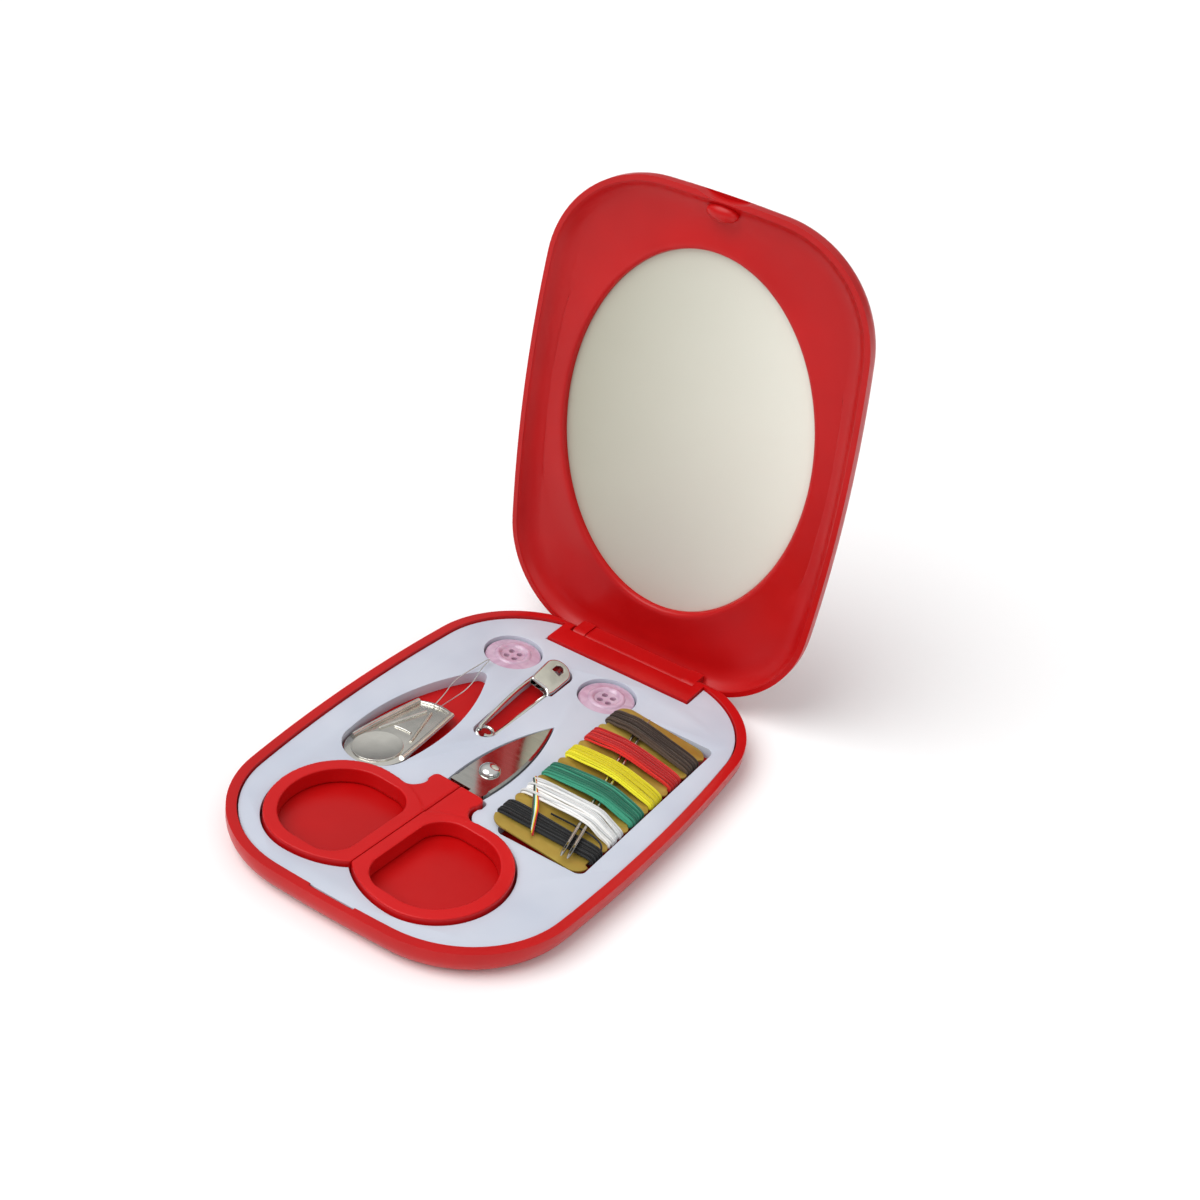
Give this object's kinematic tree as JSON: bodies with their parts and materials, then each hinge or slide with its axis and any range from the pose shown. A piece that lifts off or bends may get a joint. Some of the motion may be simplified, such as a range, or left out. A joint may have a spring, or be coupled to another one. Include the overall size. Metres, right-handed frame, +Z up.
{
  "type": "travel sewing kit",
  "caption": "Flat hinged plastic case with an oval mirror in the lid and a fitted tray holding small scissors, thread card, needles, threader, safety pin and buttons.",
  "frame": {"origin": "centre of the flat underside of the base, on the table", "axes": "+Z up, +Y towards the hinge at the back, -Y towards the latch at the front, +X to the right seen from the front"},
  "size_m": [0.064, 0.0976, 0.092],
  "materials": {
    "red_plastic": "satin moulded",
    "red_handle_plastic": "satin moulded",
    "white_plastic": "matt vacuum-formed sheet",
    "steel": "ground",
    "polished_steel": "nickel plated",
    "mirror": "silvered",
    "tape": "adhesive",
    "tin": "pressed bright",
    "fine_wire": "drawn",
    "pink_plastic": "translucent",
    "gold_card": "metallic coated",
    "thread_brown": "spun",
    "thread_red": "spun",
    "thread_yellow": "spun",
    "thread_green": "spun",
    "thread_white": "spun",
    "thread_black": "spun",
    "thread_tails": "spun"
  },
  "bodies": {
    "base": {"base_shell": "red_plastic", "tray_insert": "white_plastic", "hinge_pin_left": "steel", "hinge_pin_right": "steel"},
    "lid": {"lid_shell": "red_plastic", "mirror": "mirror", "mirror_tape": "tape"},
    "scissors": {"scissor_rivet": "polished_steel"},
    "scissor_left": {"scissor_handle_left": "red_handle_plastic", "scissor_blade_left": "steel"},
    "scissor_right": {"scissor_handle_right": "red_handle_plastic", "scissor_blade_right": "steel"},
    "threader": {"threader_plate": "tin", "threader_wire": "fine_wire"},
    "safety_pin": {"safety_pin_back": "polished_steel", "safety_pin_cap": "polished_steel"},
    "safety_pin_point": {"safety_pin_arm": "polished_steel"},
    "button_left": {"button_left": "pink_plastic"},
    "button_right": {"button_right": "pink_plastic"},
    "card": {"thread_card": "gold_card", "thread_brown": "thread_brown", "thread_red": "thread_red", "thread_yellow": "thread_yellow", "thread_green": "thread_green", "thread_white": "thread_white", "thread_black": "thread_black", "thread_tails": "thread_tails"},
    "needle_left": {"needle_left": "steel"},
    "needle_right": {"needle_right": "steel"}
  },
  "joints": [
    {"name": "lid_hinge", "type": "hinge", "parent": "base", "child": "lid", "pos_m": [0, 0.04343, 0.0033], "axis": [-1, 0, 0], "range_deg": [-91, 0]},
    {"name": "scissors_lift", "type": "slide", "parent": "base", "child": "scissors", "axis": [0, 0, 1], "range_m": [0, 0.06]},
    {"name": "scissor_left_open", "type": "hinge", "parent": "scissors", "child": "scissor_left", "pos_m": [0.0001, -0.003, 0], "axis": [0, 0, 1], "range_deg": [-15, 0]},
    {"name": "scissor_right_open", "type": "hinge", "parent": "scissors", "child": "scissor_right", "pos_m": [0.0001, -0.003, 0], "axis": [0, 0, 1], "range_deg": [0, 15]},
    {"name": "threader_lift", "type": "slide", "parent": "base", "child": "threader", "axis": [0, 0, 1], "range_m": [0, 0.045]},
    {"name": "safety_pin_lift", "type": "slide", "parent": "base", "child": "safety_pin", "axis": [0, 0, 1], "range_m": [0, 0.05]},
    {"name": "safety_pin_open", "type": "hinge", "parent": "safety_pin", "child": "safety_pin_point", "pos_m": [-0.0072, 0.0062, 0.0042], "axis": [0.4226, -0.0411, 0.9054], "range_deg": [0, 30]},
    {"name": "button_left_lift", "type": "slide", "parent": "base", "child": "button_left", "axis": [0, 0, 1], "range_m": [0, 0.02]},
    {"name": "button_right_lift", "type": "slide", "parent": "base", "child": "button_right", "axis": [0, 0, 1], "range_m": [0, 0.025]},
    {"name": "card_lift", "type": "slide", "parent": "base", "child": "card", "axis": [0, 0, 1], "range_m": [0, 0.035]},
    {"name": "needle_left_slide", "type": "slide", "parent": "card", "child": "needle_left", "axis": [0.2218, -0.9751, 0], "range_m": [0, 0.045]},
    {"name": "needle_right_slide", "type": "slide", "parent": "card", "child": "needle_right", "axis": [0.2218, -0.9751, 0], "range_m": [0, 0.045]}
  ],
  "couplings": [
    {"joint": "scissor_left_open", "follows": "scissors_lift", "rad_per_m": -4.36},
    {"joint": "scissor_right_open", "follows": "scissors_lift", "rad_per_m": 4.36}
  ]
}
